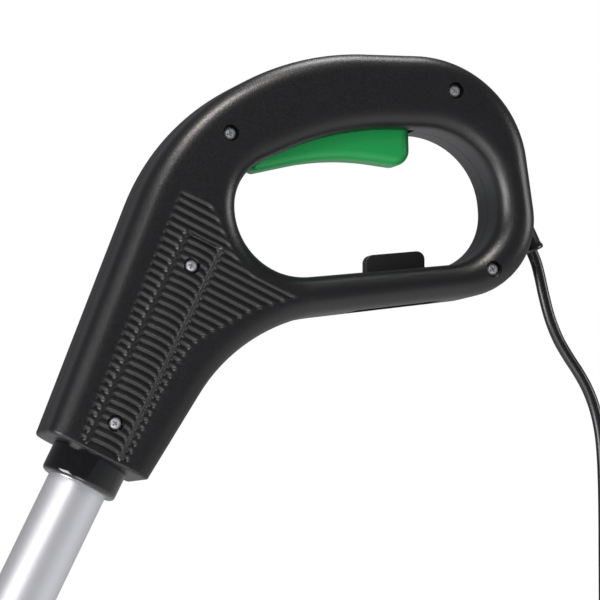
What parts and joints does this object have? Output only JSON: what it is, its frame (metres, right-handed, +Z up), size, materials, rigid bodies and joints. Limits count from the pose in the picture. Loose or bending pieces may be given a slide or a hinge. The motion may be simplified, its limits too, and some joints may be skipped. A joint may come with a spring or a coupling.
{
  "type": "string trimmer",
  "caption": "Corded electric string trimmer: closed-loop rear handle with lever trigger, aluminium shaft, tilting front handle, motor head, guard and tap-feed line spool.",
  "frame": {"origin": "centre of the rear grip, in the mid plane of the handle", "axes": "+Z up in the working pose with the cutting plane level, -X towards the cutting head, +X towards the user, -Y the user's left side"},
  "size_m": [0.5994, 0.2704, 0.9739],
  "materials": {
    "handle_plastic": "black moulded plastic with a fine spark-eroded texture",
    "collar_plastic": "smooth polished black plastic",
    "trigger_plastic": "satin green moulded plastic",
    "switch_plastic": "dark grey moulded plastic",
    "plunger_plastic": "natural white nylon",
    "capacitor_film": "yellow dipped film capacitor",
    "cord_rubber": "black flexible cord sheath with a slight gloss",
    "grip_rubber": "soft ribbed grip sleeve",
    "lead_pvc": "insulated wire",
    "line_nylon": "orange-red nylon monofilament",
    "anodised_aluminium": "drawn and anodised aluminium tube",
    "zinc_steel": "bright zinc-plated steel",
    "spring_steel": "drawn and ground steel",
    "bearing_steel": "ground bearing steel",
    "blade_steel": "pressed spring steel with a ground edge",
    "plate_metal": "die cast alloy",
    "lamination_steel": "varnished electrical steel",
    "copper": "enamelled copper wire",
    "brass": "pressed brass",
    "carbon": "sintered carbon"
  },
  "bodies": {
    "frame": {"handle_shell_left": "handle_plastic", "handle_shell_right": "handle_plastic", "handle_screws": "zinc_steel", "tube_collar": "collar_plastic", "trigger_pin": "zinc_steel", "trigger_spring": "spring_steel", "switch_housing": "switch_plastic", "switch_terminals": "brass", "suppression_capacitor": "capacitor_film", "cord_clamp": "switch_plastic", "cord_clamp_screws": "zinc_steel", "cord_boot": "cord_rubber", "cord_hook": "handle_plastic", "cord_inner_end": "cord_rubber", "supply_leads": "lead_pvc", "motor_lead": "cord_rubber", "power_cord": "cord_rubber", "plug_body": "cord_rubber", "plug_pins": "zinc_steel", "shaft_tube": "anodised_aluminium", "aux_clamp": "handle_plastic", "aux_bolt": "zinc_steel", "aux_washer": "zinc_steel", "head_shell_left": "trigger_plastic", "head_shell_right": "trigger_plastic", "head_screws": "zinc_steel", "field_core": "lamination_steel", "field_coils": "copper", "upper_bearing": "bearing_steel", "lower_bearing": "bearing_steel", "brush_holders": "brass", "carbon_brushes": "carbon", "brush_springs": "spring_steel", "motor_plate": "plate_metal", "guard": "handle_plastic", "guard_screws": "zinc_steel", "line_cutter": "blade_steel", "cutter_screws": "zinc_steel"},
    "trigger": {"trigger": "trigger_plastic"},
    "switch_plunger": {"switch_plunger": "plunger_plastic"},
    "front_handle": {"aux_handle": "handle_plastic", "aux_grip": "grip_rubber"},
    "front_handle_knob": {"aux_knob": "trigger_plastic"},
    "rotor": {"armature_core": "lamination_steel", "armature_windings": "copper", "commutator": "copper", "motor_shaft": "spring_steel", "cooling_fan": "switch_plastic", "spool_hub": "lamination_steel", "spool_housing": "handle_plastic", "spool_spring": "spring_steel", "spool_cap": "handle_plastic", "line_eyelets": "zinc_steel", "cutting_line_left": "line_nylon", "cutting_line_right": "line_nylon"},
    "tap_button": {"tap_button": "trigger_plastic"},
    "line_spool": {"line_spool": "plunger_plastic", "wound_line": "line_nylon"}
  },
  "joints": [
    {"name": "trigger_pull", "type": "hinge", "parent": "frame", "child": "trigger", "pos_m": [-0.046, 0, -0.02105], "axis": [0, -1, 0], "range_deg": [0, 6], "stiffness_Nm_per_rad": 0.8, "springref_deg": -22.92, "deforming": ["trigger_spring"]},
    {"name": "plunger_slide", "type": "slide", "parent": "frame", "child": "switch_plunger", "axis": [0, 0, 1], "range_m": [0, 0.005]},
    {"name": "front_handle_tilt", "type": "hinge", "parent": "frame", "child": "front_handle", "pos_m": [-0.25017, 0, -0.36041], "axis": [0, 1, 0], "range_deg": [-35, 30]},
    {"name": "knob_turn", "type": "hinge", "parent": "frame", "child": "front_handle_knob", "pos_m": [-0.25017, 0, -0.36041], "axis": [0, 1, 0], "continuous": true},
    {"name": "head_spin", "type": "hinge", "parent": "frame", "child": "rotor", "pos_m": [-0.42486, 0, -0.78701], "axis": [0, 0, 1], "continuous": true},
    {"name": "tap_slide", "type": "slide", "parent": "rotor", "child": "tap_button", "axis": [0, 0, 1], "range_m": [0, 0.004], "stiffness_N_per_m": 2500, "springref_m": -0.002, "deforming": ["spool_spring"]},
    {"name": "spool_turn", "type": "hinge", "parent": "tap_button", "child": "line_spool", "pos_m": [-0.42486, 0, -0.78701], "axis": [0, 0, 1], "continuous": true}
  ],
  "couplings": [
    {"joint": "plunger_slide", "follows": "trigger_pull", "m_per_rad": 0.046}
  ]
}
